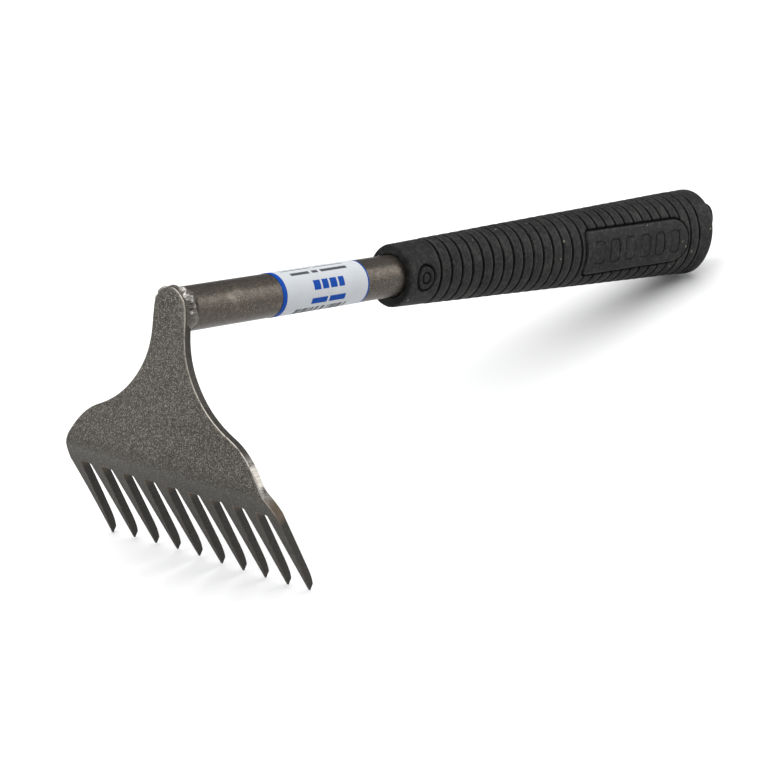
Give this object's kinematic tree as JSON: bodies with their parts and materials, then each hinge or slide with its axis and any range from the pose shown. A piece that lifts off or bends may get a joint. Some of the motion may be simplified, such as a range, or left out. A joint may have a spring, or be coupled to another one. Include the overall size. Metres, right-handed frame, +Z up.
{
  "type": "hand rake",
  "caption": "Short-handled garden hand rake: a bent, slotted steel head with tapered tines, welded square to a tube with an oval ribbed rubber grip.",
  "frame": {"origin": "on the ground plane, under the middle of the tool's length and width, with the tool lying on its tine tips and on the heel of its grip", "axes": "+X along the tool from the head to the grip, +Y across the tines, +Z up from the ground; the tube slopes down towards the grip by 14.45 degrees"},
  "size_m": [0.3475, 0.0988, 0.1074],
  "materials": {
    "head_coat": "speckled metallic powder coat",
    "tube_coat": "bronze-grey metallic coat, satin",
    "weld": "coated weld bead, rubbed bright on its crests",
    "grip_rubber": "matt moulded rubber",
    "label_film": "printed film"
  },
  "bodies": {
    "root": {"rake_head": "head_coat", "shank_tube": "tube_coat", "weld_bead": "weld", "grip": "grip_rubber", "label": "label_film"}
  },
  "joints": []
}
